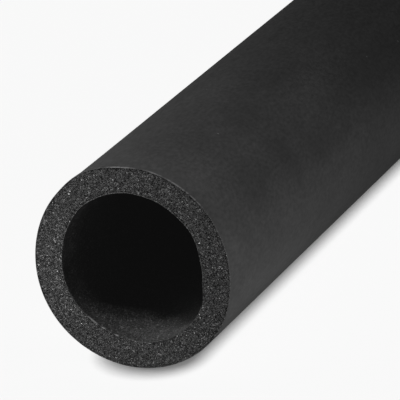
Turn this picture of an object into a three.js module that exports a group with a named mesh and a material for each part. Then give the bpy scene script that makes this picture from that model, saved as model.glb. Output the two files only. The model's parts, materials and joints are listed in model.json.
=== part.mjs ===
// Pipe insulation lagging: one straight length of flexible closed-cell foam tube, cut square at
// both ends, that is slid over a heating pipe.
//
// Units are millimetres and +Z is up. The tube lies along X, and the origin is on the axis of its
// round outside, halfway along. A section is seen from the -X end: an angle of 0 degrees is to
// the right (-Y), and 90 is up (+Z).

import * as THREE from "three";

// Driving dimensions

// A cut length that such tube is sold in
const tubeLength = 1000;
// Nominal bore, for a 48.3 mm steel pipe, which stretches the foam a little
const boreDiameter = 48;
// Nominal wall
const wallThickness = 9;

// The soft bore isn't quite round. Its radius swings this far above and below the mean, as an oval
const boreOvality = 0.5;
// Direction of the oval's long diameter, in degrees
const boreOvalAngle = 130;
// On one side the wall is thicker and leans into the bore by this much
const thickSideDepth = 1.4;
// Direction of the middle of that thick side, in degrees
const thickSideAngle = 8;
// The thick side fades out this far to either side of its middle, in degrees
const thickSideSpread = 36;

// Flats that stand for each round outline
const sectionSides = 64;

const boreRadius = boreDiameter / 2;
const outerRadius = boreRadius + wallThickness;

// Where the corners of a section's outlines lie, in degrees. They start half a side round, so
// that a flat and not a corner is at the bottom.
const cornerAngles = Array.from(
  { length: sectionSides },
  (_, side) => ((side + 0.5) * 360) / sectionSides,
);

function cosine(angle) {
  return Math.cos(THREE.MathUtils.degToRad(angle));
}

// How far the thick side leans into the bore in a direction given in degrees
function leanAt(angle) {
  const turn = THREE.MathUtils.euclideanModulo(angle - thickSideAngle, 360);
  const fromMiddle = Math.min(turn, 360 - turn);
  const fade = Math.min(fromMiddle / thickSideSpread, 1);
  return thickSideDepth * cosine(90 * fade) ** 2;
}

// The bore as a whole lies a little towards the thick side, by as much as leaves the wall no
// heavy side: the middle of the bore's area stays on the tube's axis
const boreShift = cornerAngles.reduce(
  (sum, angle) => sum + (leanAt(angle) * cosine(angle - thickSideAngle) * 2) / sectionSides,
  0,
);

function boreRadiusAt(angle) {
  const oval = boreOvality * cosine(2 * (angle - boreOvalAngle));
  const shift = boreShift * cosine(angle - thickSideAngle);
  return boreRadius + oval + shift - leanAt(angle);
}

// The corners of a closed outline whose radius is a function of the angle in degrees
function outlinePoints(radiusAt) {
  return cornerAngles.map((angle) => {
    const turn = THREE.MathUtils.degToRad(angle);
    const radius = radiusAt(angle);
    return new THREE.Vector2(radius * Math.cos(turn), radius * Math.sin(turn));
  });
}

// Section: the round outside, with the bore as a hole through it

const section = new THREE.Shape(outlinePoints(() => outerRadius));
section.holes.push(new THREE.Path(outlinePoints(boreRadiusAt)));

// Tube: the section drawn out along its length, with the origin halfway

const tubeGeometry = new THREE.ExtrudeGeometry(section, {
  depth: tubeLength,
  bevelEnabled: false,
});
tubeGeometry.translate(0, 0, -tubeLength / 2);

const blackFoam = new THREE.MeshStandardMaterial({
  color: 0x323233,
  roughness: 0.85,
  metalness: 0,
});

const foamTube = new THREE.Mesh(tubeGeometry, blackFoam);
foamTube.name = "foam_tube";

// Where the section's own right, up and drawn-out directions point in the part

const sectionRight = new THREE.Vector3(0, -1, 0);
const sectionUp = new THREE.Vector3(0, 0, 1);
const sectionAlong = new THREE.Vector3(-1, 0, 0);
foamTube.quaternion.setFromRotationMatrix(
  new THREE.Matrix4().makeBasis(sectionRight, sectionUp, sectionAlong),
);

const pipeInsulation = new THREE.Group();
pipeInsulation.add(foamTube);

export default pipeInsulation;
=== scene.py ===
"""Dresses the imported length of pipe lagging: a black foam tube with a smooth skin and knife-cut ends.

The tube lies along X, and the end that the photograph shows is at -X. A section is seen from that end:
an angle of 0 degrees is to the right (-Y) and 90 is up (+Z). Lengths are in metres and angles in degrees.
"""

import json
import logging
import math
import random
from collections.abc import Callable, Iterator
from contextlib import contextmanager
from dataclasses import dataclass, field
from enum import IntEnum
from functools import cached_property

import bmesh
import bpy
from mathutils import Matrix, Vector, noise
from mathutils.geometry import delaunay_2d_cdt

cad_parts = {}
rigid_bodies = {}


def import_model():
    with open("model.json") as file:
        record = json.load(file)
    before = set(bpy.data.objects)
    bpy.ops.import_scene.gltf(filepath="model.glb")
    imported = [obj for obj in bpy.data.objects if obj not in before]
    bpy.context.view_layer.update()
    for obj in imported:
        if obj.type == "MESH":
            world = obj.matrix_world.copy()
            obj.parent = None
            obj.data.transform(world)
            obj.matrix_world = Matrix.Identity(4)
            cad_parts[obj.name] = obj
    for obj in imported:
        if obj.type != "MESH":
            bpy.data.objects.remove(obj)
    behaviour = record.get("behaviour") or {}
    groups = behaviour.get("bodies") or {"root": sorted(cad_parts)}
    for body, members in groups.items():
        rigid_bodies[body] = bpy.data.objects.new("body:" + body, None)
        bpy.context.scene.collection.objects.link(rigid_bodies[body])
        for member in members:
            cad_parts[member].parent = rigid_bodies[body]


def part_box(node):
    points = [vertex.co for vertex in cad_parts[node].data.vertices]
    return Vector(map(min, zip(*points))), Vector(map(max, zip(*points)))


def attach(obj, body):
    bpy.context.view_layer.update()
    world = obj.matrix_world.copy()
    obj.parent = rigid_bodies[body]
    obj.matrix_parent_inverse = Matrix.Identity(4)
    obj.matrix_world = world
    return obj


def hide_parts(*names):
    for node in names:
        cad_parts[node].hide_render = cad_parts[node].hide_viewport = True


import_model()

log = logging.getLogger("foam_tube")

MM = 0.001
NODE = "foam_tube"

# Names of what the mesh carries for its finishes
DEPTH_ATTRIBUTE = "cell_depth"
TONE_ATTRIBUTE = "cell_tone"
EDGE_ATTRIBUTE = "torn_edge"

# The range that most values of a noise lie in
NOISE_LOW = 0.3
NOISE_HIGH = 0.7

# How torn a skin's edge is where its painted highlight starts, and where nothing else shows
LIP_HIGHLIGHT_FROM = 0.25
LIP_HIGHLIGHT_FULL = 0.8


class Surface(IntEnum):
    """The kinds of surface on the tube, in the order of the piece's material slots."""

    SKIN = 0
    BORE = 1
    CUT = 2


def cosine(angle: float) -> float:
    """Gives the cosine of an angle in degrees."""
    return math.cos(math.radians(angle))


def smooth_step(value: float) -> float:
    """Eases a value from 0 to 1, and holds it at 0 below and at 1 above."""
    held = min(max(value, 0.0), 1.0)
    return held * held * (3.0 - 2.0 * held)


def turn_between(angle: float, other: float) -> float:
    """Gives the smaller turn between two directions, from 0 to 180 degrees."""
    turn = (angle - other) % 360.0
    return min(turn, 360.0 - turn)


@dataclass(frozen=True)
class Peak:
    """An amount that is greatest in one direction of the section and fades out to either side of it."""

    angle: float
    spread: float
    amount: float

    def at(self, angle: float) -> float:
        """Gives the amount in a direction."""
        return self.amount * (1.0 - smooth_step(turn_between(angle, self.angle) / self.spread))


@dataclass(frozen=True)
class TubeSection:
    """The tube's section: a round outside and a bore that isn't quite round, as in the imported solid.

    The soft foam also has slight forms that the solid leaves out: a bore that swells in or gives way in
    places, and an outside that is drawn in, or in places spread out, beside its cut ends.
    """

    outer_radius: float
    bore_radius: float = 24.0 * MM
    bore_ovality: float = 0.5 * MM
    bore_oval_angle: float = 130.0
    thick_side_depth: float = 1.4 * MM
    thick_side_angle: float = 8.0
    thick_side_spread: float = 36.0
    solid_sides: int = 64
    swellings: tuple[Peak, ...] = (
        Peak(352.0, 13.0, 0.55 * MM),
        Peak(52.0, 30.0, 0.32 * MM),
        Peak(82.0, 14.0, 0.16 * MM),
        Peak(135.0, 15.0, -0.28 * MM),
        Peak(208.0, 42.0, -0.80 * MM),
    )
    drawn_in: tuple[Peak, ...] = (
        Peak(350.0, 26.0, 0.45 * MM),
        Peak(12.0, 38.0, 0.85 * MM),
        Peak(50.0, 60.0, 0.70 * MM),
        Peak(95.0, 16.0, 0.30 * MM),
        Peak(123.0, 18.0, -0.45 * MM),
        Peak(170.0, 35.0, 0.18 * MM),
        Peak(218.0, 42.0, -0.18 * MM),
    )
    drawn_in_length: float = 10.0 * MM

    def lean_at(self, angle: float) -> float:
        """Tells how far the thick side of the wall leans into the bore.

        Args:
            angle: The direction in the section.

        Returns:
            The depth in metres, which is 0 away from the thick side.
        """
        fade = min(turn_between(angle, self.thick_side_angle) / self.thick_side_spread, 1.0)
        return self.thick_side_depth * cosine(90.0 * fade) ** 2

    @cached_property
    def bore_shift(self) -> float:
        """The shift of the whole bore that keeps the middle of its area on the axis."""
        angles = [(side + 0.5) * 360.0 / self.solid_sides for side in range(self.solid_sides)]
        lean = sum(self.lean_at(angle) * cosine(angle - self.thick_side_angle) for angle in angles)
        return 2.0 * lean / self.solid_sides

    def bore_radius_at(self, angle: float, _from_end: float = 0.0) -> float:
        """Gives the bore's radius in a direction, which is the same all along the tube."""
        oval = self.bore_ovality * cosine(2.0 * (angle - self.bore_oval_angle))
        shift = self.bore_shift * cosine(angle - self.thick_side_angle)
        swelling = sum(peak.at(angle) for peak in self.swellings)
        return self.bore_radius + oval + shift - self.lean_at(angle) - swelling

    def outer_radius_at(self, angle: float, from_end: float = 0.0) -> float:
        """Gives the radius of the outside.

        Args:
            angle: The direction in the section.
            from_end: How far the place is from the nearer end of the tube.

        Returns:
            The radius in metres, which near the ends is a little less where the foam is drawn in, and a
            little more where it spreads.
        """
        fade = 1.0 - smooth_step(from_end / self.drawn_in_length)
        return self.outer_radius - fade * sum(peak.at(angle) for peak in self.drawn_in)

    @cached_property
    def middle_radius(self) -> float:
        """A radius inside the wall all round, which tells the outer rim from the bore's."""
        return (self.outer_radius + self.bore_radius) / 2.0


def outer_radius_of(node: str) -> float:
    """Gives the radius of a node's round outside, whose box only reaches to the middles of its flats."""
    low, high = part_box(node)
    return (high[2] - low[2]) / 2.0 / cosine(180.0 / TubeSection.solid_sides)


def on_section(x: float, radius: float, angle: float) -> Vector:
    """Gives the point of a section at x, at a radius and in a direction from the axis."""
    turn = math.radians(angle)
    return Vector((x, -radius * math.cos(turn), radius * math.sin(turn)))


def radius_and_angle(place: Vector) -> tuple[float, float]:
    """Gives a point's distance and direction from the tube's axis."""
    return math.hypot(place.y, place.z), math.degrees(math.atan2(place.z, -place.y)) % 360.0


def deselect_all() -> None:
    for thing in bpy.context.view_layer.objects:
        thing.select_set(False)


def make_active(piece: bpy.types.Object) -> None:
    """Makes a piece the only selected object and the active one."""
    deselect_all()
    piece.select_set(True)
    bpy.context.view_layer.objects.active = piece


@contextmanager
def edit_mode(piece: bpy.types.Object, kind: str = "VERT") -> Iterator[None]:
    """Opens a piece in edit mode with nothing selected, and closes it again.

    Args:
        piece: The mesh object.
        kind: What is selected there: VERT, EDGE or FACE.
    """
    make_active(piece)
    bpy.ops.object.mode_set(mode="EDIT")
    bpy.ops.mesh.select_mode(type=kind)
    bpy.ops.mesh.select_all(action="DESELECT")
    yield
    bpy.ops.object.mode_set(mode="OBJECT")


def select_faces(piece: bpy.types.Object, wanted: Callable[[bmesh.types.BMFace], bool]) -> int:
    """Selects only the faces that pass a test, in edit mode, and returns how many do."""
    mesh = bmesh.from_edit_mesh(piece.data)
    for face in mesh.faces:
        face.select_set(False)
    chosen = [face for face in mesh.faces if wanted(face)]
    for face in chosen:
        face.select_set(True)
    bmesh.update_edit_mesh(piece.data)
    return len(chosen)


def select_open_edges(piece: bpy.types.Object, wanted: Callable[[Vector], bool]) -> None:
    """Selects only the open edges whose middle passes a test, in edit mode."""
    mesh = bmesh.from_edit_mesh(piece.data)
    for edge in mesh.edges:
        edge.select_set(False)
    for edge in mesh.edges:
        if edge.is_boundary and wanted((edge.verts[0].co + edge.verts[1].co) / 2.0):
            edge.select_set(True)
    bmesh.update_edit_mesh(piece.data)


def move_selected(piece: bpy.types.Object, place_of: Callable[[Vector], Vector]) -> None:
    """Moves each selected vertex, in edit mode, to where a function of its place says."""
    mesh = bmesh.from_edit_mesh(piece.data)
    for vertex in mesh.verts:
        if vertex.select:
            vertex.co = place_of(vertex.co)
    bmesh.update_edit_mesh(piece.data)


def finish_selected(piece: bpy.types.Object, surface: Surface) -> None:
    """Gives the selected faces, in edit mode, the finish of one kind of surface."""
    mesh = bmesh.from_edit_mesh(piece.data)
    for face in mesh.faces:
        if face.select:
            face.material_index = surface
    bmesh.update_edit_mesh(piece.data)


def store_numbers(piece: bpy.types.Object, name: str, numbers: list[float]) -> None:
    """Stores a number for each vertex of a piece, for its finishes to read by name."""
    layer = piece.data.attributes.new(name, "FLOAT", "POINT")
    layer.data.foreach_set("value", numbers)


@dataclass
class CutEnd:
    """A knife-cut end of the tube: a ring of foam cells cut open, edged by the two skins.

    Each cell is a small pit with thin walls round it. The rims carry what the knife left: rounded edges
    of skin that stand up in places as a torn lip, and a shallow groove just inside the outer one.
    """

    section: TubeSection
    x: float
    outward: float
    seed: int
    materials: list[bpy.types.Material]

    cell_pitch: float = 0.38 * MM
    cell_shake: float = 0.42
    cells_left_out: float = 0.05
    least_wall: float = 0.06 * MM
    room_by_rim_share: float = 0.3
    mirrored_share: float = 2.5
    floored_share: float = 0.28
    least_side_share: float = 0.50
    small_classes: int = 2
    size_classes: int = 5
    depth_classes: tuple[float, ...] = (0.7, 1.0, 1.3)
    # Painted light: the cells' tones are raised beside the bore in these two directions.
    painted_light_beside_bore: tuple[Peak, ...] = (Peak(185.0, 60.0, 1.5), Peak(298.0, 60.0, 1.8))
    painted_light_width: float = 13.0 * MM
    pit_slope_share: float = 0.40
    pit_depth_share: float = 0.95
    deepest: float = 1.5
    ridge_depth: float = 0.01

    skin_edge: float = 0.24 * MM
    least_edge_round: float = 0.05 * MM
    most_edge_round: float = 0.18 * MM
    skin_return: float = 0.7 * MM
    rim_burr: float = 0.05 * MM
    tear_width: float = 1.3
    lip_swing: float = 1.3
    highest_lip: float = 0.30 * MM
    lips: tuple[Peak, ...] = (
        Peak(97.0, 13.0, 0.30 * MM),
        Peak(78.0, 11.0, 0.20 * MM),
        Peak(63.0, 15.0, 0.24 * MM),
        Peak(50.0, 10.0, 0.20 * MM),
    )
    burrs: tuple[Peak, ...] = (
        Peak(234.0, 9.0, 0.26 * MM),
        Peak(245.0, 3.0, 0.22 * MM),
        Peak(256.0, 3.5, 0.24 * MM),
        Peak(212.0, 8.0, 0.14 * MM),
    )
    groove: float = 0.05 * MM

    knife_wave: float = 0.10 * MM
    knife_wave_length: float = 4.0 * MM
    ridge_tear: float = 0.05 * MM

    chance: random.Random = field(init=False)

    def __post_init__(self) -> None:
        """Seeds the end's own chance, so that each run makes the same cells."""
        self.chance = random.Random(self.seed)

    def inner_rim_at(self, angle: float) -> float:
        """Gives the radius at which the cells start, just outside the bore's skin."""
        return self.section.bore_radius_at(angle) + self.skin_edge

    def outer_rim_at(self, angle: float) -> float:
        """Gives the radius at which the cells end, just inside the outer skin."""
        return self.section.outer_radius_at(angle) - self.skin_edge

    def scatter(self) -> list[Vector]:
        """Scatters the middles of the cells over the ring between the skins.

        Returns:
            Places in the section, right and up from the axis: a staggered grid, shaken, with some left out
            so that their neighbours are larger.
        """
        row_height = self.cell_pitch * math.sqrt(3.0) / 2.0
        rows = math.ceil(self.section.outer_radius / row_height)
        columns = math.ceil(self.section.outer_radius / self.cell_pitch)
        room = self.room_by_rim_share * self.cell_pitch
        middles = []
        for row in range(-rows, rows + 1):
            for column in range(-columns, columns + 1):
                right = (column + 0.5 * (row % 2)) * self.cell_pitch
                up = row * row_height
                right += self.chance.uniform(-1.0, 1.0) * self.cell_shake * self.cell_pitch
                up += self.chance.uniform(-1.0, 1.0) * self.cell_shake * self.cell_pitch
                kept = self.chance.random() > self.cells_left_out
                radius = math.hypot(right, up)
                angle = math.degrees(math.atan2(up, right))
                inside = self.inner_rim_at(angle) + room < radius < self.outer_rim_at(angle) - room
                if kept and inside:
                    middles.append(Vector((right, up)))
        return middles

    def mirrored(self, middles: list[Vector]) -> list[Vector]:
        """Mirrors the middles near a rim across it, so that the cells there end on the rim."""
        near = self.mirrored_share * self.cell_pitch
        images = []
        for middle in middles:
            radius = middle.length
            angle = math.degrees(math.atan2(middle.y, middle.x))
            for rim in (self.inner_rim_at(angle), self.outer_rim_at(angle)):
                if abs(radius - rim) < near:
                    images.append(middle * ((2.0 * rim - radius) / radius))
        return images

    def lay_cells(self) -> bpy.types.Object:
        """Divides the cut ring into cells, each the ground nearest to one middle.

        Returns:
            A flat mesh object with a face for each cell, at the end's x.
        """
        middles = self.scatter()
        places = middles + self.mirrored(middles)
        in_mm = [place / MM for place in places]
        places, _, triangles, *_ = delaunay_2d_cdt(in_mm, [], [], 0, 1e-7)
        corners = [middle_of_circle(*(places[index] for index in triangle)) for triangle in triangles]

        around: dict[int, list[int]] = {}
        for number, triangle in enumerate(triangles):
            for index in triangle:
                around.setdefault(index, []).append(number)

        used: dict[int, int] = {}
        vertices: list[Vector] = []
        faces: list[list[int]] = []
        known = {(round(place.x, 5), round(place.y, 5)) for place in in_mm[: len(middles)]}
        for index, place in enumerate(places):
            if (round(place.x, 5), round(place.y, 5)) not in known:
                continue
            ring = sorted(
                around[index],
                key=lambda number: math.atan2(
                    corners[number].y - place.y, corners[number].x - place.x
                ),
            )
            for number in ring:
                if number not in used:
                    used[number] = len(vertices)
                    vertices.append(Vector((self.x, -corners[number].x * MM, corners[number].y * MM)))
            face = [used[number] for number in ring]
            faces.append(face if self.outward < 0 else face[::-1])

        mesh = bpy.data.meshes.new("cut_cells")
        mesh.from_pydata(vertices, [], faces)
        for material in self.materials:
            mesh.materials.append(material)
        mesh.polygons.foreach_set("material_index", [Surface.CUT] * len(faces))
        piece = bpy.data.objects.new("cut_cells", mesh)
        bpy.context.scene.collection.objects.link(piece)
        return piece

    def settle_rims(self, piece: bpy.types.Object) -> None:
        """Merges walls that are too short to see and draws the cells' ends onto the two rims."""

        def onto_rim(place: Vector) -> Vector:
            """Gives the point of the nearer rim in the direction of a place."""
            radius, angle = radius_and_angle(place)
            if radius > self.section.middle_radius:
                return on_section(self.x, self.outer_rim_at(angle), angle)
            return on_section(self.x, self.inner_rim_at(angle), angle)

        with edit_mode(piece):
            bpy.ops.mesh.select_all(action="SELECT")
            bpy.ops.mesh.remove_doubles(threshold=self.least_wall)
            select_open_edges(piece, lambda _: True)
            move_selected(piece, onto_rim)

    def tone_at(self, place: Vector) -> float:
        """Gives a cell a chance tone from 0 to 1, which is raised in two places beside the bore as painted
        light.
        """
        radius, angle = radius_and_angle(place)
        from_bore = radius - self.section.bore_radius_at(angle)
        most = sum(peak.at(angle) for peak in self.painted_light_beside_bore)
        boost = most * (1.0 - smooth_step(from_bore / self.painted_light_width))
        return self.chance.random() ** (1.0 / (1.0 + boost))

    def sort_cells(self, piece: bpy.types.Object) -> list[float]:
        """Gives each cell a chance tone, and a group by its size and a chance depth.

        Returns:
            The least size of each size class, a radius in metres. The first classes hold the small cells
            and those with a short side, which end in a point. The rest hold large ones, with a floor.
        """
        mesh = bmesh.new()
        mesh.from_mesh(piece.data)
        tone = mesh.faces.layers.float.new(TONE_ATTRIBUTE)
        group = mesh.faces.layers.int.new("cell_group")
        sizes = sorted(math.sqrt(face.calc_area() / math.pi) for face in mesh.faces)
        small = 1.0 - self.floored_share
        large_classes = self.size_classes - self.small_classes
        shares = [small * step / self.small_classes for step in range(self.small_classes)]
        shares += [small + self.floored_share * step / large_classes for step in range(large_classes)]
        least_sizes = [sizes[int(len(sizes) * share)] for share in shares]
        for face in mesh.faces:
            size = math.sqrt(face.calc_area() / math.pi)
            size_class = sum(size >= least for least in least_sizes[1:])
            if min(edge.calc_length() for edge in face.edges) < self.least_side_share * size:
                size_class = min(size_class, self.small_classes - 1)
            depth_class = self.chance.randrange(len(self.depth_classes))
            face[tone] = self.tone_at(face.calc_center_median())
            face[group] = size_class * len(self.depth_classes) + depth_class
        mesh.to_mesh(piece.data)
        mesh.free()
        return least_sizes

    def open_cells(self, piece: bpy.types.Object) -> None:
        """Sinks each cell into a pit: a small one to a point, and a large one to a floor of its own."""
        least_sizes = self.sort_cells(piece)
        least_sizes[0] = 0.5 * least_sizes[1]
        with edit_mode(piece, "FACE"):
            for size_class, size in enumerate(least_sizes):
                for depth_class, depth_share in enumerate(self.depth_classes):
                    wanted = size_class * len(self.depth_classes) + depth_class
                    depth = size * self.pit_depth_share * depth_share
                    found = self.select_group(piece, wanted)
                    if found and size_class < self.small_classes:
                        bpy.ops.mesh.poke(offset=-depth)
                    elif found:
                        slope = size * self.pit_slope_share
                        bpy.ops.mesh.inset(thickness=slope, depth=-depth, use_individual=True)
                    self.clear_group_of_selected(piece)

    @staticmethod
    def select_group(piece: bpy.types.Object, wanted: int) -> int:
        """Selects the cells of one group that aren't sunk yet, and returns how many there are."""
        mesh = bmesh.from_edit_mesh(piece.data)
        group = mesh.faces.layers.int["cell_group"]
        return select_faces(piece, lambda face: face[group] == wanted)

    @staticmethod
    def clear_group_of_selected(piece: bpy.types.Object) -> None:
        """Takes the selected faces and the walls that were made with them out of every group."""
        mesh = bmesh.from_edit_mesh(piece.data)
        group = mesh.faces.layers.int["cell_group"]
        for face in mesh.faces:
            if face.select:
                face[group] = -1
        bmesh.update_edit_mesh(piece.data)

    def store_depth(self, piece: bpy.types.Object) -> None:
        """Stores how deep each vertex lies in its pit, from 0 at the cut to 1 at an average floor."""
        usual = 0.5 * self.cell_pitch * self.pit_depth_share
        depths = [
            min((self.x - vertex.co.x) * self.outward / usual, self.deepest)
            for vertex in piece.data.vertices
        ]
        store_numbers(piece, DEPTH_ATTRIBUTE, depths)

    def torn_height_at(self, angle: float, heights: tuple[Peak, ...]) -> float:
        """Tells how far the cut edge of a skin stands up from the cells.

        Args:
            angle: The direction in the section.
            heights: The stretches of the edge that are torn, the outer skin's or the bore's.

        Returns:
            The height in metres: an uneven lip along those stretches, and a slight burr elsewhere.
        """
        uneven = noise.noise(Vector((angle / self.tear_width, self.seed, len(heights))))
        lip = max(peak.at(angle) for peak in heights)
        return lip * max(1.0 + self.lip_swing * uneven, 0.0) + self.rim_burr * (0.5 + 0.5 * uneven)

    def edge_round_at(self, torn_height: float) -> float:
        """Gives how far the cut edge of a skin is rounded off, which is most where it is torn."""
        boost = min(torn_height / self.highest_lip, 1.0)
        return self.least_edge_round + boost * (self.most_edge_round - self.least_edge_round)

    def edge_with_skin(self, piece: bpy.types.Object) -> None:
        """Edges the cells with the rounded cut edge of each skin and turns it along the tube."""
        section = self.section

        def edge_at(place: Vector) -> tuple[float, float, float, float]:
            """Gives a place's direction, skin radius, way into the wall and torn height."""
            radius, angle = radius_and_angle(place)
            if radius > section.middle_radius:
                return angle, section.outer_radius_at(angle), -1.0, self.torn_height_at(angle, self.lips)
            return angle, section.bore_radius_at(angle), 1.0, self.torn_height_at(angle, self.burrs)

        def beside_crest(place: Vector) -> Vector:
            """Gives the place of the crest of a skin's cut edge beside a cell's end on the rim."""
            angle, skin, into_wall, height = edge_at(place)
            crest = skin + into_wall * self.edge_round_at(height)
            return on_section(self.x + self.outward * height, crest, angle)

        def rounded_off(place: Vector) -> Vector:
            """Gives the place where the rounded edge has become the skin's smooth side."""
            angle, skin, _, height = edge_at(place)
            return on_section(self.x - self.outward * self.edge_round_at(height), skin, angle)

        def turned_in(place: Vector) -> Vector:
            """Gives the place where the skin has turned from its cut edge along the tube."""
            angle, skin, *_ = edge_at(place)
            return on_section(self.x - self.outward * self.skin_return, skin, angle)

        steps = (beside_crest, rounded_off, turned_in)

        with edit_mode(piece, "EDGE"):
            for surface in (Surface.SKIN, Surface.BORE):
                is_outside = surface is Surface.SKIN
                for shaped in steps:
                    select_open_edges(
                        piece, lambda middle: (middle.yz.length > section.middle_radius) == is_outside
                    )
                    bpy.ops.mesh.extrude_edges_move()
                    self.finish_new_band(piece, Surface.CUT if shaped is beside_crest else surface)
                    move_selected(piece, shaped)

    @staticmethod
    def finish_new_band(piece: bpy.types.Object, surface: Surface) -> None:
        """Gives the faces beside the edges that were just drawn out the finish of one kind of surface."""
        mesh = bmesh.from_edit_mesh(piece.data)
        tone = mesh.faces.layers.float[TONE_ATTRIBUTE]
        for edge in mesh.edges:
            if edge.select:
                for face in edge.link_faces:
                    face.material_index = surface
                    face[tone] = 0.5
        bmesh.update_edit_mesh(piece.data)

    def store_torn_edge(self, piece: bpy.types.Object) -> None:
        """Stores how torn each vertex of a skin's cut edge is, from 0 to 1 at the highest lip."""
        shares = []
        for vertex in piece.data.vertices:
            radius, angle = radius_and_angle(vertex.co)
            by_the_cut = abs(vertex.co.x - self.x) < 0.5 * (self.most_edge_round + self.skin_return)
            height = 0.0
            if by_the_cut and radius > self.outer_rim_at(angle) + 0.1 * self.skin_edge:
                height = self.torn_height_at(angle, self.lips)
            elif by_the_cut and radius < self.inner_rim_at(angle) - 0.1 * self.skin_edge:
                height = self.torn_height_at(angle, self.burrs)
            shares.append(min(height / self.highest_lip, 1.0))
        store_numbers(piece, EDGE_ATTRIBUTE, shares)

    def sink_groove(self, piece: bpy.types.Object) -> None:
        """Sinks the cells' ends on the outer rim, which leaves a groove beside the skin's edge."""
        for vertex in piece.data.vertices:
            radius, angle = radius_and_angle(vertex.co)
            if radius > self.outer_rim_at(angle) - 0.01 * self.cell_pitch:
                boost = self.torn_height_at(angle, self.lips) / self.highest_lip
                vertex.co.x -= self.outward * self.groove * (1.0 + boost)

    def roughen(self, piece: bpy.types.Object) -> None:
        """Gives the cut the knife's shallow waves, and tears the tops of the cell walls a little."""
        depth = piece.data.attributes[DEPTH_ATTRIBUTE].data
        for vertex in piece.data.vertices:
            radius, angle = radius_and_angle(vertex.co)
            from_rims = min(
                self.section.outer_radius_at(angle) - radius, radius - self.section.bore_radius_at(angle)
            )
            fade = smooth_step(from_rims / (2.0 * self.cell_pitch))
            waved = vertex.co / self.knife_wave_length
            wave = self.knife_wave * noise.noise(Vector((waved.y, waved.z, self.seed)))
            tear = self.chance.uniform(-1.0, 1.0) * self.ridge_tear
            on_ridge = depth[vertex.index].value < self.ridge_depth
            vertex.co.x += self.outward * fade * (wave + (tear if on_ridge else 0.0))

    def build(self) -> bpy.types.Object:
        """Builds the cut end and returns it as an open mesh object, with a border at each skin."""
        piece = self.lay_cells()
        self.settle_rims(piece)
        self.open_cells(piece)
        self.sink_groove(piece)
        self.store_depth(piece)
        self.edge_with_skin(piece)
        self.store_torn_edge(piece)
        self.roughen(piece)
        return piece


def middle_of_circle(a: Vector, b: Vector, c: Vector) -> Vector:
    """Gives the middle of the circle through three points, or their mean where they lie in a line."""
    first, second = b - a, c - a
    cross = 2.0 * (first.x * second.y - first.y * second.x)
    if abs(cross) < 1e-12:
        return (a + b + c) / 3.0
    first_square, second_square = first.length_squared, second.length_squared
    right = (second.y * first_square - first.y * second_square) / cross
    up = (first.x * second_square - second.x * first_square) / cross
    return a + Vector((right, up))


@dataclass
class SkinShell:
    """One of the tube's two skins between its ends: a long open shell drawn out ring by ring."""

    surface: Surface
    radius_at: Callable[[float, float], float]
    half_length: float
    sides: int
    rings: int
    wave_depth: float
    materials: list[bpy.types.Material]
    end_rings: tuple[float, ...] = (3.0 * MM, 5.5 * MM, 8.0 * MM, 11.0 * MM, 16.0 * MM)
    wave_length: float = 45.0 * MM
    wave_fade: float = 30.0 * MM

    def from_end(self, x: float) -> float:
        """Gives how far a place along the tube is from the nearer end."""
        return self.half_length - abs(x)

    def wave_at(self, place: Vector) -> float:
        """Gives how far the soft skin lies inside its nominal radius at a place."""
        fade = smooth_step((self.from_end(place.x) - self.end_rings[0]) / self.wave_fade)
        return fade * self.wave_depth * (0.5 + 0.5 * noise.noise(place / self.wave_length))

    def ring_steps(self) -> list[float]:
        """Gives the steps from ring to ring, which are shorter near the ends."""
        near = [after - before for before, after in zip(self.end_rings, self.end_rings[1:])]
        middle = 2.0 * (self.half_length - self.end_rings[-1])
        return near + [middle / self.rings] * self.rings + near[::-1]

    def build(self) -> bpy.types.Object:
        """Draws the shell out from a circle and returns it as a mesh object with open ends."""
        deselect_all()
        bpy.ops.mesh.primitive_circle_add(
            vertices=self.sides,
            radius=self.radius_at(0.0, self.end_rings[0]),
            fill_type="NOTHING",
            location=(self.end_rings[0] - self.half_length, 0.0, 0.0),
            rotation=(0.0, math.pi / 2.0, 0.0),
        )
        piece = bpy.context.object
        bpy.ops.object.transform_apply(location=True, rotation=True, scale=True)
        for material in self.materials:
            piece.data.materials.append(material)
        with edit_mode(piece, "EDGE"):
            bpy.ops.mesh.select_all(action="SELECT")
            for step in self.ring_steps():
                bpy.ops.mesh.extrude_region_move(TRANSFORM_OT_translate={"value": (step, 0.0, 0.0)})
            bpy.ops.mesh.select_all(action="SELECT")
            move_selected(piece, self.shaped)
            finish_selected(piece, self.surface)
        return piece

    def shaped(self, place: Vector) -> Vector:
        """Gives the place on the soft skin of a point of the drawn-out circle."""
        _, angle = radius_and_angle(place)
        radius = self.radius_at(angle, self.from_end(place.x))
        round_place = on_section(place.x, radius, angle)
        return on_section(place.x, radius - self.wave_at(round_place), angle)


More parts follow.
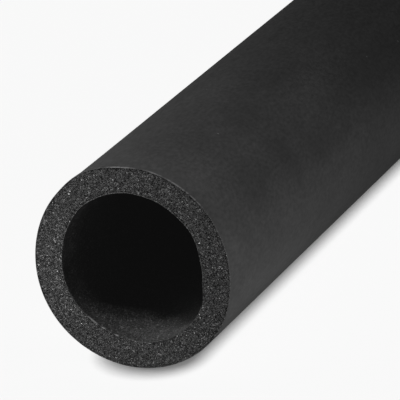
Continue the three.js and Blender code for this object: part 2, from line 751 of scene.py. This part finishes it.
class NodeBoard:
    """A shader's node tree, with short ways to add nodes and join them."""

    def __init__(self, tree: bpy.types.NodeTree) -> None:
        """Starts on an emptied node tree."""
        self.tree = tree
        self.tree.nodes.clear()

    def add(self, kind: str, **settings: object) -> bpy.types.Node:
        """Adds a node of a kind and sets its properties by name."""
        node = self.tree.nodes.new(kind)
        for name, value in settings.items():
            setattr(node, name, value)
        return node

    def feed(self, socket: bpy.types.NodeSocket, value: object) -> None:
        """Joins an output to a socket, or sets the socket to a plain value."""
        if isinstance(value, bpy.types.NodeSocket):
            self.tree.links.new(value, socket)
        else:
            socket.default_value = value

    def object_place(self) -> bpy.types.NodeSocket:
        """Adds the piece's own coordinates, in metres."""
        return self.add("ShaderNodeTexCoord").outputs["Object"]

    def attribute(self, name: str) -> bpy.types.NodeSocket:
        """Adds a number that the mesh carries."""
        return self.add("ShaderNodeAttribute", attribute_name=name).outputs["Fac"]

    def noise(self, place: bpy.types.NodeSocket, size: float, detail: float) -> bpy.types.NodeSocket:
        """Adds a soft noise whose patches are about a size in metres across."""
        node = self.add("ShaderNodeTexNoise")
        self.feed(node.inputs["Vector"], place)
        node.inputs["Scale"].default_value = 1.0 / size
        node.inputs["Detail"].default_value = detail
        return node.outputs["Fac"]

    def cells(self, place: bpy.types.NodeSocket, size: float) -> bpy.types.Node:
        """Adds a cell pattern whose cells are about a size in metres across."""
        node = self.add("ShaderNodeTexVoronoi")
        self.feed(node.inputs["Vector"], place)
        node.inputs["Scale"].default_value = 1.0 / size
        return node

    def ramp(
        self, factor: bpy.types.NodeSocket, stops: list[tuple[float, float]]
    ) -> bpy.types.NodeSocket:
        """Adds a grey ramp through stops of (position, grey)."""
        node = self.add("ShaderNodeValToRGB")
        elements = node.color_ramp.elements
        while len(elements) < len(stops):
            elements.new(1.0)
        for element, (position, grey) in zip(elements, stops):
            element.position = position
            element.color = (grey, grey, grey, 1.0)
        self.feed(node.inputs["Fac"], factor)
        return node.outputs["Color"]

    def between(self, factor: bpy.types.NodeSocket, low: float, high: float) -> bpy.types.NodeSocket:
        """Adds a grey that follows a noise from one value to another."""
        return self.ramp(factor, [(NOISE_LOW, low), (NOISE_HIGH, high)])

    def lip_highlight_share(self) -> bpy.types.NodeSocket:
        """Adds the share of the painted highlight along a skin's torn lips, which is 0 but for its torn
        edges.
        """
        return self.ramp(self.attribute(EDGE_ATTRIBUTE), [(LIP_HIGHLIGHT_FROM, 0.0), (LIP_HIGHLIGHT_FULL, 1.0)])

    def sum_up(self, operation: str, *terms: object) -> bpy.types.NodeSocket:
        """Adds a sum of numbers, such as MULTIPLY or MULTIPLY_ADD."""
        node = self.add("ShaderNodeMath", operation=operation)
        for socket, term in zip(node.inputs, terms):
            self.feed(socket, term)
        return node.outputs[0]

    def sum_up_places(self, operation: str, *terms: object) -> bpy.types.NodeSocket:
        """Adds a sum of places, such as MULTIPLY or SUBTRACT."""
        node = self.add("ShaderNodeVectorMath", operation=operation)
        for socket, term in zip(node.inputs, terms):
            self.feed(socket, term)
        return node.outputs[0]

    def product(self, first: object, second: object) -> bpy.types.NodeSocket:
        """Adds the product of two colours."""
        node = self.add("ShaderNodeMix", data_type="RGBA", blend_type="MULTIPLY")
        node.inputs[0].default_value = 1.0
        self.feed(node.inputs[6], first)
        self.feed(node.inputs[7], second)
        return node.outputs[2]

    def mix(self, share: object, first: object, grey: float) -> bpy.types.NodeSocket:
        """Adds a mix of a colour with a plain grey, by a share."""
        node = self.add("ShaderNodeMix", data_type="RGBA")
        self.feed(node.inputs[0], share)
        self.feed(node.inputs[6], first)
        self.feed(node.inputs[7], (grey, grey, grey, 1.0))
        return node.outputs[2]

    def shaken(self, place: bpy.types.NodeSocket, size: float, shake: float) -> bpy.types.NodeSocket:
        """Adds places that are shifted unevenly, so that shapes drawn with them get uneven edges.

        Args:
            place: The places.
            size: About how far apart the shifts differ, in metres.
            shake: The greatest shift, in metres.

        Returns:
            The shifted places.
        """
        node = self.add("ShaderNodeTexNoise")
        self.feed(node.inputs["Vector"], place)
        node.inputs["Scale"].default_value = 1.0 / size
        middle = self.sum_up_places("SUBTRACT", node.outputs["Color"], (0.5, 0.5, 0.5))
        return self.sum_up_places("MULTIPLY_ADD", middle, (2.0 * shake,) * 3, place)

    def soft_patch(
        self, place: bpy.types.NodeSocket, middle: Vector, half_sizes: tuple[float, float, float]
    ) -> bpy.types.NodeSocket:
        """Adds a rounded patch that is 1 in its middle and fades to 0 at its edge."""
        aside = self.sum_up_places("SUBTRACT", place, middle)
        scaled = self.sum_up_places("DIVIDE", aside, half_sizes)
        length = self.add("ShaderNodeVectorMath", operation="LENGTH")
        self.feed(length.inputs[0], scaled)
        fade = self.add("ShaderNodeMapRange", interpolation_type="SMOOTHSTEP")
        self.feed(fade.inputs["Value"], length.outputs["Value"])
        self.feed(fade.inputs["From Min"], 0.1)
        self.feed(fade.inputs["To Min"], 1.0)
        self.feed(fade.inputs["To Max"], 0.0)
        return fade.outputs["Result"]

    def near_ends(
        self, place: bpy.types.NodeSocket, half_length: float, reach: float, factor: float
    ) -> bpy.types.NodeSocket:
        """Adds a factor that is 1 along the tube and comes to another value at its two cut ends.

        Args:
            place: The piece's own coordinates.
            half_length: Half of the tube's length.
            reach: How far from an end the change starts, in metres.
            factor: The factor at the ends.

        Returns:
            The factor.
        """
        parts = self.add("ShaderNodeSeparateXYZ")
        self.feed(parts.inputs[0], place)
        fade = self.add("ShaderNodeMapRange", interpolation_type="SMOOTHSTEP")
        self.feed(fade.inputs["Value"], self.sum_up("ABSOLUTE", parts.outputs["X"]))
        self.feed(fade.inputs["From Min"], half_length - reach)
        self.feed(fade.inputs["From Max"], half_length)
        self.feed(fade.inputs["To Min"], 1.0)
        self.feed(fade.inputs["To Max"], factor)
        return fade.outputs["Result"]

    def bump(
        self, height: bpy.types.NodeSocket, depth: float, strength: float, below: object = None
    ) -> bpy.types.NodeSocket:
        """Adds a bump of a depth in metres, on top of another bump where one is given."""
        node = self.add("ShaderNodeBump")
        node.inputs["Distance"].default_value = depth
        node.inputs["Strength"].default_value = strength
        self.feed(node.inputs["Height"], height)
        if below is not None:
            self.feed(node.inputs["Normal"], below)
        return node.outputs["Normal"]

    def finish_surface(
        self, colour: object, roughness: object, normal: object, specular: float
    ) -> None:
        """Adds the surface shader and the output."""
        shader = self.add("ShaderNodeBsdfPrincipled")
        self.feed(shader.inputs["Base Color"], colour)
        self.feed(shader.inputs["Roughness"], roughness)
        self.feed(shader.inputs["Normal"], normal)
        shader.inputs["Specular IOR Level"].default_value = specular
        output = self.add("ShaderNodeOutputMaterial")
        self.feed(output.inputs["Surface"], shader.outputs["BSDF"])

    def show_or_light(
        self, kind: str, shown: bpy.types.NodeSocket, lighting: bpy.types.NodeSocket
    ) -> None:
        """Adds an output of a kind that the camera sees one shader of and that lights with another."""
        light_path = self.add("ShaderNodeLightPath")
        either = self.add("ShaderNodeMixShader")
        self.feed(either.inputs[0], light_path.outputs["Is Camera Ray"])
        self.feed(either.inputs[1], lighting)
        self.feed(either.inputs[2], shown)
        output = self.add(kind)
        self.feed(output.inputs["Surface"], either.outputs[0])


def new_material(name: str) -> tuple[bpy.types.Material, NodeBoard]:
    """Makes a material, and a board for its emptied node tree."""
    made = bpy.data.materials.new(name)
    made.use_nodes = True
    return made, NodeBoard(made.node_tree)


@dataclass(frozen=True)
class MarkAndPaintedLight:
    """A patch of the skin painted paler, or darker, with a soft edge: partly a handling mark and partly
    painted light and shade.

    Its place is how far it is along the tube from the near end, and its direction in the section.
    """

    along: float
    angle: float
    half_length: float
    half_width: float
    paler: float


@dataclass(frozen=True)
class SkinFinish:
    """The outer skin: smooth matt black foam with faint mottling, handling marks that are partly painted
    light and shade, a painted highlight along its torn lips and a few pale specks.
    """

    name: str = "foam_skin"
    grey: float = 0.0310
    mottle_size: float = 24.0 * MM
    mottle: float = 0.08
    cloud_size: float = 4.0 * MM
    cloud: float = 0.09
    grain_size: float = 1.1 * MM
    grain: float = 0.32
    grain_stretch: float = 0.6
    # Patches of painted light and shade, partly handling marks, each paler by a share, or darker where
    # that share is below 0.
    smudges_and_painted_light: tuple[MarkAndPaintedLight, ...] = (
        MarkAndPaintedLight(12.0 * MM, 52.0, 24.0 * MM, 13.0 * MM, 0.34),
        MarkAndPaintedLight(14.0 * MM, 342.0, 30.0 * MM, 14.0 * MM, 0.26),
        MarkAndPaintedLight(78.0 * MM, 97.0, 26.0 * MM, 10.0 * MM, 0.18),
        MarkAndPaintedLight(99.0 * MM, 49.0, 36.0 * MM, 14.0 * MM, 0.20),
        MarkAndPaintedLight(57.0 * MM, 9.0, 24.0 * MM, 10.0 * MM, 0.12),
        MarkAndPaintedLight(114.0 * MM, 15.0, 50.0 * MM, 5.0 * MM, 0.14),
        MarkAndPaintedLight(132.0 * MM, 26.0, 24.0 * MM, 6.0 * MM, 0.12),
        MarkAndPaintedLight(47.0 * MM, 52.0, 13.0 * MM, 8.0 * MM, 0.12),
        MarkAndPaintedLight(64.0 * MM, 70.0, 24.0 * MM, 10.0 * MM, -0.25),
        MarkAndPaintedLight(34.0 * MM, 74.0, 16.0 * MM, 10.0 * MM, -0.22),
        MarkAndPaintedLight(62.0 * MM, 34.0, 13.0 * MM, 14.0 * MM, -0.30),
        MarkAndPaintedLight(87.0 * MM, 28.0, 18.0 * MM, 10.0 * MM, -0.22),
        MarkAndPaintedLight(35.0 * MM, 34.0, 19.0 * MM, 11.0 * MM, -0.18),
        MarkAndPaintedLight(100.0 * MM, 77.0, 32.0 * MM, 10.0 * MM, -0.20),
        MarkAndPaintedLight(152.0 * MM, 42.0, 55.0 * MM, 14.0 * MM, -0.20),
        MarkAndPaintedLight(165.0 * MM, 70.0, 36.0 * MM, 8.0 * MM, -0.14),
    )
    patch_shake: float = 4.0 * MM
    patch_shake_size: float = 12.0 * MM
    paler_by_the_cut: float = 0.10
    paler_length: float = 20.0 * MM
    speck_pitch: float = 11.0 * MM
    speck_size: float = 0.03
    speck_grey: float = 0.12
    specks_left_out: float = 0.62
    # A pale grey painted along the torn lips as their highlight.
    lip_highlight_grey: float = 0.13
    roughness: float = 0.62
    roughness_swing: float = 0.05
    mottle_bump: tuple[float, float] = (0.15 * MM, 0.25)
    grain_bump: tuple[float, float] = (0.04 * MM, 0.4)
    specular: float = 0.5

    def smudged_and_painted_light(self, board: NodeBoard, place: bpy.types.NodeSocket) -> bpy.types.NodeSocket:
        """Adds the factor by which the patches of handling marks and painted light and shade, and the cut
        ends, make the skin paler or darker.
        """
        low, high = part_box(NODE)
        radius = (high[2] - low[2]) / 2.0
        shaken = board.shaken(place, self.patch_shake_size, self.patch_shake)
        factor = board.near_ends(place, high[0], self.paler_length, 1.0 + self.paler_by_the_cut)
        for marked in self.smudges_and_painted_light:
            middle = on_section(low[0] + marked.along, radius, marked.angle)
            half_sizes = (marked.half_length, marked.half_width, marked.half_width)
            # Each patch paints light and shade onto the skin, partly as a handling mark.
            patch = board.soft_patch(shaken, middle, half_sizes)
            factor = board.sum_up("MULTIPLY_ADD", patch, marked.paler, factor)
        return factor

    def material(self) -> bpy.types.Material:
        """Makes the skin's material."""
        made, board = new_material(self.name)
        place = board.object_place()
        along = board.sum_up_places("MULTIPLY", place, (self.grain_stretch, 1.0, 1.0))
        mottle = board.noise(along, self.mottle_size, 3.0)
        cloud = board.noise(along, self.cloud_size, 2.0)
        grain = board.noise(along, self.grain_size, 3.0)
        colour = board.between(mottle, self.grey * (1.0 - self.mottle), self.grey * (1.0 + self.mottle))
        for factor in (
            board.between(cloud, 1.0 - self.cloud, 1.0 + self.cloud),
            board.between(grain, 1.0 - self.grain, 1.0 + self.grain),
            self.smudged_and_painted_light(board, place),
        ):
            colour = board.product(colour, factor)
        specks = board.cells(place, self.speck_pitch)
        near = board.sum_up("LESS_THAN", specks.outputs["Distance"], self.speck_size)
        rare = board.sum_up("GREATER_THAN", specks.outputs["Color"], self.specks_left_out)
        colour = board.mix(board.sum_up("MULTIPLY", near, rare), colour, self.speck_grey)
        # Painted highlight along the torn lips.
        colour = board.mix(board.lip_highlight_share(), colour, self.lip_highlight_grey)
        swing = self.roughness_swing
        roughness = board.between(mottle, self.roughness + swing, self.roughness - swing)
        soft = board.bump(mottle, *self.mottle_bump)
        normal = board.bump(grain, *self.grain_bump, soft)
        board.finish_surface(colour, roughness, normal, self.specular)
        return made


@dataclass(frozen=True)
class BoreFinish:
    """The skin of the bore: rougher than the outer skin, with the foam's cells showing through, painted
    shade near each cut end and a painted highlight along its burrs.
    """

    name: str = "foam_bore"
    grey: float = 0.0590
    grain_size: float = 0.9 * MM
    grain: float = 0.15
    grain_stretch: float = 0.5
    facet_size: float = 0.31 * MM
    facets: tuple[tuple[float, float], ...] = ((0.0, 0.08), (0.4, 0.48), (0.8, 1.6), (1.0, 4.6))
    # Painted shade: the bore is darker near each cut end.
    painted_shade_by_the_cut: float = 0.46
    painted_shade_length: float = 7.0 * MM
    # A pale grey painted along the bore's burrs as their highlight.
    lip_highlight_grey: float = 0.20
    roughness: float = 0.75
    roughness_swing: float = 0.06
    grain_bump: tuple[float, float] = (0.12 * MM, 0.5)
    specular: float = 0.35

    def material(self) -> bpy.types.Material:
        """Makes the bore's material."""
        made, board = new_material(self.name)
        place = board.object_place()
        along = board.sum_up_places("MULTIPLY", place, (self.grain_stretch, 1.0, 1.0))
        grain = board.noise(along, self.grain_size, 3.0)
        colour = board.between(grain, self.grey * (1.0 - self.grain), self.grey * (1.0 + self.grain))
        facets = board.cells(along, self.facet_size).outputs["Color"]
        colour = board.product(colour, board.ramp(facets, list(self.facets)))
        half_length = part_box(NODE)[1][0]
        # Painted shade near each cut end.
        factor = board.near_ends(place, half_length, self.painted_shade_length, 1.0 - self.painted_shade_by_the_cut)
        colour = board.product(colour, factor)
        # Painted highlight along the bore's burrs.
        colour = board.mix(board.lip_highlight_share(), colour, self.lip_highlight_grey)
        swing = self.roughness_swing
        roughness = board.between(grain, self.roughness + swing, self.roughness - swing)
        normal = board.bump(grain, *self.grain_bump)
        board.finish_surface(colour, roughness, normal, self.specular)
        return made


@dataclass(frozen=True)
class CutFinish:
    """The cut cells: thin walls round pits that are painted dark with depth as painted shade, and a few
    cells painted bright as glints.
    """

    name: str = "foam_cut"
    wall_grey: float = 0.0602
    pit_shade_grey: float = 0.0100
    # Random cell tones; the top two stops paint a few cells bright as painted glints.
    tones_and_glints: tuple[tuple[float, float], ...] = (
        (0.0, 0.62), (0.12, 0.74), (0.5, 0.90), (0.8, 1.06), (0.93, 1.26), (0.985, 2.0), (1.0, 6.0)
    )
    patch_size: float = 2.6 * MM
    patch: float = 0.05
    patch_bump: tuple[float, float] = (0.10 * MM, 0.3)
    facet_size: float = 0.24 * MM
    facets: tuple[tuple[float, float], ...] = (
        (0.0, 0.03), (0.3, 0.27), (0.6, 0.78), (0.8, 2.00), (0.92, 3.80), (1.0, 7.2)
    )
    roughness: float = 0.8
    specular: float = 0.35

    def material(self) -> bpy.types.Material:
        """Makes the material of the cut cells."""
        made, board = new_material(self.name)
        place = board.object_place()
        patches = board.noise(place, self.patch_size, 2.0)
        facets = board.cells(place, self.facet_size).outputs["Color"]
        depth = board.attribute(DEPTH_ATTRIBUTE)
        # Painted shade: darker from the tops of the walls to the bottoms of the pits.
        colour = board.ramp(depth, [(0.0, self.wall_grey), (1.0, self.pit_shade_grey)])
        for factor in (
            board.ramp(board.attribute(TONE_ATTRIBUTE), list(self.tones_and_glints)),
            board.between(patches, 1.0 - self.patch, 1.0 + self.patch),
            board.ramp(facets, list(self.facets)),
        ):
            colour = board.product(colour, factor)
        normal = board.bump(patches, *self.patch_bump)
        board.finish_surface(colour, self.roughness, normal, self.specular)
        return made


@dataclass(frozen=True)
class FloorFinish:
    """The plain pale floor, which throws only part of its light back onto the tube."""

    name: str = "pale_floor"
    grey: float = 0.62
    glow: float = 0.189
    thrown_back: float = 0.1115

    def material(self) -> bpy.types.Material:
        """Makes the floor's material: seen directly it glows a little, as paper lit from below does."""
        made, board = new_material(self.name)
        seen = board.add("ShaderNodeBsdfDiffuse")
        board.feed(seen.inputs["Color"], (self.grey, self.grey, self.grey, 1.0))
        glow = board.add("ShaderNodeEmission")
        board.feed(glow.inputs["Strength"], self.glow)
        bright = board.add("ShaderNodeAddShader")
        board.feed(bright.inputs[0], seen.outputs[0])
        board.feed(bright.inputs[1], glow.outputs[0])
        dim = board.add("ShaderNodeEmission")
        board.feed(dim.inputs["Strength"], self.thrown_back)
        board.show_or_light("ShaderNodeOutputMaterial", bright.outputs[0], dim.outputs[0])
        return made


@dataclass
class FoamTube:
    """The whole length of lagging: two skins and two cut ends, joined into one closed piece."""

    node: str = NODE
    outer_sides: int = 104
    outer_rings: int = 60
    bore_sides: int = 84
    bore_rings: int = 30
    skin_wave: float = 0.08 * MM
    bore_wave: float = 0.15 * MM
    front_seed: int = 11
    back_seed: int = 12
    sharp_angle: float = 62.0

    def build(self) -> bpy.types.Object:
        """Returns:
            The finished piece.
        """
        low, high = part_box(self.node)
        half_length = (high[0] - low[0]) / 2.0
        section = TubeSection(outer_radius=outer_radius_of(self.node))
        materials = [SkinFinish().material(), BoreFinish().material(), CutFinish().material()]

        front = CutEnd(section, -half_length, -1.0, self.front_seed, materials).build()
        back = CutEnd(section, half_length, 1.0, self.back_seed, materials).build()
        outer = SkinShell(
            Surface.SKIN, section.outer_radius_at, half_length, self.outer_sides, self.outer_rings,
            self.skin_wave, materials,
        ).build()
        bore = SkinShell(
            Surface.BORE, section.bore_radius_at, half_length, self.bore_sides, self.bore_rings,
            -self.bore_wave, materials,
        ).build()

        piece = self.joined([front, back, outer, bore])
        self.close_seams(piece, section)
        self.finish_mesh(piece)
        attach(piece, "root")
        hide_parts(self.node)
        return piece

    @staticmethod
    def joined(parts: list[bpy.types.Object]) -> bpy.types.Object:
        """Joins the parts into one object and returns it."""
        make_active(parts[0])
        for part in parts:
            part.select_set(True)
        bpy.ops.object.join()
        piece = bpy.context.object
        piece.name = "foam_tube_length"
        piece.data.name = piece.name
        return piece

    @staticmethod
    def close_seams(piece: bpy.types.Object, section: TubeSection) -> None:
        """Bridges the gap between each cut end's skin edges and the shells."""
        with edit_mode(piece, "EDGE"):
            for surface in (Surface.SKIN, Surface.BORE):
                is_outside = surface is Surface.SKIN
                for side in (-1.0, 1.0):
                    select_open_edges(
                        piece,
                        lambda middle: middle.x * side > 0.0
                        and (middle.yz.length > section.middle_radius) == is_outside,
                    )
                    bpy.ops.mesh.bridge_edge_loops()
                    finish_selected(piece, surface)

    def finish_mesh(self, piece: bpy.types.Object) -> None:
        """Turns every face outwards, smooths the shading and takes the helper numbers away."""
        with edit_mode(piece):
            bpy.ops.mesh.select_all(action="SELECT")
            bpy.ops.mesh.normals_make_consistent(inside=False)
        make_active(piece)
        bpy.ops.object.shade_smooth_by_angle(angle=math.radians(self.sharp_angle))
        helper = piece.data.attributes.get("cell_group")
        if helper is not None:
            piece.data.attributes.remove(helper)


@dataclass(frozen=True)
class PhotoCamera:
    """The camera of the photograph, as worked out from the outline of the tube."""

    lens: float = 377.95
    sensor: float = 36.0
    picture_side: float = 400.0
    pitch: float = 20.15
    yaw: float = 21.33
    face_centre_right_px: float = 133.28
    face_centre_down_px: float = 267.92
    face_depth_radii: float = 39.13
    radius: float = 33.0 * MM
    far_clip: float = 200.0

    def build(self, face_centre: Vector) -> bpy.types.Object:
        """Makes the camera that sees the middle of the near end where the photograph does.

        Args:
            face_centre: The middle of the near end.

        Returns:
            The camera, which is also the scene's.
        """
        yaw, pitch = math.radians(self.yaw), math.radians(self.pitch)
        level = Vector((math.cos(yaw), math.sin(yaw), 0.0))
        right = Vector((math.sin(yaw), -math.cos(yaw), 0.0))
        forward = level * math.cos(pitch) - Vector((0.0, 0.0, math.sin(pitch)))
        up = right.cross(forward)
        focal_px = self.lens / self.sensor * self.picture_side
        depth = self.face_depth_radii * self.radius
        aside = (self.face_centre_right_px - self.picture_side / 2.0) / focal_px * depth
        above = -(self.face_centre_down_px - self.picture_side / 2.0) / focal_px * depth
        data = bpy.data.cameras.new("photo_camera")
        data.lens = self.lens
        data.sensor_width = self.sensor
        data.clip_end = self.far_clip
        camera = bpy.data.objects.new("photo_camera", data)
        turn = Matrix((right, up, -forward)).transposed()
        camera.matrix_world = turn.to_4x4()
        camera.location = face_centre - right * aside - up * above - forward * depth
        bpy.context.scene.collection.objects.link(camera)
        bpy.context.scene.camera = camera
        return camera


def area_lamp(name: str, shape: str, sides: tuple[float, float], power: float) -> bpy.types.Object:
    """Adds a flat lamp to the scene.

    Args:
        name: Its name.
        shape: SQUARE, RECTANGLE or ELLIPSE.
        sides: Its length and breadth in metres.
        power: Its power in watts.

    Returns:
        The lamp, which shines down from the origin.
    """
    data = bpy.data.lights.new(name, "AREA")
    data.shape = shape
    data.size, data.size_y = sides
    data.energy = power
    lamp = bpy.data.objects.new(name, data)
    bpy.context.scene.collection.objects.link(lamp)
    return lamp


@dataclass(frozen=True)
class SoftBox:
    """A square studio lamp that faces the near end of the tube.

    Its place is given from there: a distance in metres, an elevation, and an azimuth that is 0 towards the
    camera and 90 to the picture's right.
    """

    name: str
    distance: float
    elevation: float
    azimuth: float
    power: float
    side_share: float = 0.5

    def build(self, target: Vector) -> bpy.types.Object:
        """Makes the lamp, aimed at a target."""
        elevation = math.radians(self.elevation)
        heading = math.radians(PhotoCamera.yaw + 180.0 + self.azimuth)
        level = Vector((math.cos(heading), math.sin(heading), 0.0))
        aside = self.distance * (level * math.cos(elevation) + Vector((0.0, 0.0, math.sin(elevation))))
        side = self.side_share * self.distance
        lamp = area_lamp(self.name, "SQUARE", (side, side), self.power)
        lamp.location = target + aside
        lamp.rotation_mode = "QUATERNION"
        lamp.rotation_quaternion = (-aside).to_track_quat("-Z", "Y")
        lamp.visible_camera = False
        return lamp


@dataclass(frozen=True)
class FloorStrip:
    """A faint lamp that lies on the floor on the tube's right and faces up, as light from the floor does.

    Its place is how far it starts from the near end, and how far it starts from under the tube's axis.
    """

    name: str
    start: float
    length: float
    aside: float
    width: float
    power: float
    above_floor: float = 0.5 * MM

    def build(self, near_x: float, floor_z: float) -> bpy.types.Object:
        """Makes the lamp.

        Args:
            near_x: The x of the near end.
            floor_z: The height of the floor.

        Returns:
            The lamp, which the camera doesn't see.
        """
        lamp = area_lamp(self.name, "RECTANGLE", (self.length, self.width), self.power)
        lamp.location = (
            near_x + self.start + self.length / 2.0,
            -self.aside - self.width / 2.0,
            floor_z + self.above_floor,
        )
        lamp.rotation_euler = (math.pi, 0.0, 0.0)
        lamp.visible_camera = False
        return lamp


@dataclass(frozen=True)
class ContactShadow:
    """The soft shadow under the tube, cast by a flag that is the only thing the floor's own lamp is
    blocked by.

    The photograph's shadow keeps close under the tube, and a little to its right. The flag is a strip with
    rounded ends, narrower than the tube, and the lamp's breadth and the flag's height make the soft edge.
    """

    half_width: float = 16.3 * MM
    to_the_right: float = 1.35 * MM
    beyond_the_end: float = 5.1 * MM
    rounded_length: float = 18.2 * MM
    flag_height: float = 33.0 * MM
    soft_edge_along: float = 6.1 * MM
    soft_edge_across: float = 3.5 * MM
    lamp_height: float = 100.0
    lamp_power: float = 122400.0
    sides: int = 96

    def build_flag(self, half_length: float, floor_z: float) -> bpy.types.Object:
        """Makes the flag, which no camera or reflection sees.

        Args:
            half_length: Half of the tube's length.
            floor_z: The height of the floor.

        Returns:
            The flag, a flat card.
        """
        deselect_all()
        straight = half_length + self.beyond_the_end - self.rounded_length

        def strip(place: Vector) -> Vector:
            """Gives the place on the strip's outline of a point on a circle with a radius of 1."""
            x = math.copysign(straight, place.x) + self.rounded_length * place.x
            return Vector((x, self.half_width * place.y - self.to_the_right, floor_z + self.flag_height))

        bpy.ops.mesh.primitive_circle_add(vertices=self.sides, radius=1.0, fill_type="NGON")
        flag = bpy.context.object
        flag.name = "shadow_flag"
        with edit_mode(flag):
            bpy.ops.mesh.select_all(action="SELECT")
            move_selected(flag, strip)
        flag.visible_camera = False
        flag.visible_diffuse = False
        flag.visible_glossy = False
        flag.visible_transmission = False
        return flag

    def build_lamp(self, floor_z: float) -> bpy.types.Object:
        """Makes the floor's lamp, so far above that it lights the whole floor evenly.

        Args:
            floor_z: The height of the floor.

        Returns:
            The lamp.
        """
        reach = self.lamp_height / self.flag_height
        sides = (2.0 * self.soft_edge_along * reach, 2.0 * self.soft_edge_across * reach)
        lamp = area_lamp("floor_lamp", "ELLIPSE", sides, self.lamp_power)
        lamp.location = (0.0, 0.0, floor_z + self.lamp_height)
        return lamp


@dataclass
class Studio:
    """A plain pale floor and soft light round the tube."""

    floor_z: float
    floor_side: float = 240.0
    backdrop: float = 0.947
    soft_boxes: tuple[SoftBox, ...] = (
        SoftBox("right_low_box", 0.24, 3.0, 75.0, 0.197, 0.3),
        SoftBox("right_front_box", 0.24, 14.0, 60.0, 0.062, 0.3),
        SoftBox("left_side_box", 0.18, 42.0, -90.0, 0.195, 0.5),
        SoftBox("high_left_box", 1.0, 42.0, -75.0, 3.184, 0.1),
        SoftBox("high_front_box", 1.0, 50.0, -60.0, 1.707, 0.1),
        SoftBox("front_low_box", 0.10, -10.0, -45.0, 0.049, 0.3),
        SoftBox("back_high_box", 0.18, 60.0, 135.0, 0.0275, 0.5),
        SoftBox("back_right_box", 0.5, 30.0, 120.0, 0.0433, 0.3),
    )
    floor_strips: tuple[FloorStrip, ...] = (
        FloorStrip("near_strip", 0.0, 0.10, 0.036, 0.044, 0.0032),
        FloorStrip("middle_strip", 0.0, 0.15, 0.04, 0.08, 0.0044),
        FloorStrip("far_strip", 0.15, 0.25, 0.04, 0.08, 0.0043),
    )
    black_lift: float = 0.0038

    def lay_floor(self) -> bpy.types.Object:
        """Lays the floor that the tube lies on."""
        deselect_all()
        bpy.ops.mesh.primitive_plane_add(size=self.floor_side, location=(0.0, 0.0, self.floor_z))
        floor = bpy.context.object
        floor.name = "pale_floor"
        floor.data.materials.append(FloorFinish().material())
        return floor

    def hang_sky(self) -> None:
        """Gives the sky, which the camera sees as pale as the floor and which lights nothing."""
        world = bpy.data.worlds.new("pale_sky")
        world.use_nodes = True
        board = NodeBoard(world.node_tree)
        seen = board.add("ShaderNodeBackground")
        board.feed(seen.inputs["Strength"], self.backdrop)
        board.feed(seen.inputs["Color"], (1.0, 1.0, 1.0, 1.0))
        dark = board.add("ShaderNodeBackground")
        board.feed(dark.inputs["Strength"], 0.0)
        board.show_or_light("ShaderNodeOutputWorld", seen.outputs[0], dark.outputs[0])
        bpy.context.scene.world = world

    def build(self, piece: bpy.types.Object, half_length: float) -> None:
        """Lays the floor and sets the lamps, each for what it is meant to light.

        Args:
            piece: The tube.
            half_length: Half of its length. The soft boxes are aimed at its near end.
        """
        floor = self.lay_floor()
        self.hang_sky()
        shadow = ContactShadow()
        flag = shadow.build_flag(half_length, self.floor_z)
        floor_lamp = shadow.build_lamp(self.floor_z)
        limit_light(floor_lamp, floor)
        floor_lamp.light_linking.blocker_collection = collection_of("floor_lamp_blockers", flag)
        for box in self.soft_boxes:
            limit_light(box.build(Vector((-half_length, 0.0, 0.0))), piece)
        for strip in self.floor_strips:
            limit_light(strip.build(-half_length, self.floor_z), piece)
        self.set_view()

    def set_view(self) -> None:
        """Shows colours as they are, but for black, which the photograph shows a little lifted."""
        view = bpy.context.scene.view_settings
        view.view_transform = "Standard"
        view.use_curve_mapping = True
        tone_curve = view.curve_mapping.curves[3]
        tone_curve.points[0].location = (0.0, self.black_lift)
        view.curve_mapping.update()


def collection_of(name: str, thing: bpy.types.Object) -> bpy.types.Collection:
    """Makes a collection that holds one object."""
    made = bpy.data.collections.new(name)
    made.objects.link(thing)
    return made


def limit_light(lamp: bpy.types.Object, receiver: bpy.types.Object) -> None:
    """Lets a lamp light one object only."""
    lamp.light_linking.receiver_collection = collection_of(f"{lamp.name}_lights", receiver)


def main() -> None:
    """Builds the camera, the tube and the studio in order, and reports the piece."""
    logging.basicConfig(level=logging.INFO, format="%(name)s: %(message)s")
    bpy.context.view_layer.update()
    node_low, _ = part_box(NODE)
    outer_radius = outer_radius_of(NODE)
    face_centre = Vector((node_low[0], 0.0, 0.0))
    PhotoCamera().build(face_centre)
    tube = FoamTube()
    piece = tube.build()
    triangles = sum(len(polygon.vertices) - 2 for polygon in piece.data.polygons)
    check = bmesh.new()
    check.from_mesh(piece.data)
    open_edges = sum(not edge.is_manifold for edge in check.edges)
    check.free()
    log.info("%s: %d triangles, %d open edges", piece.name, triangles, open_edges)
    Studio(floor_z=-outer_radius).build(piece, -node_low[0])


if __name__ == "__main__":
    main()
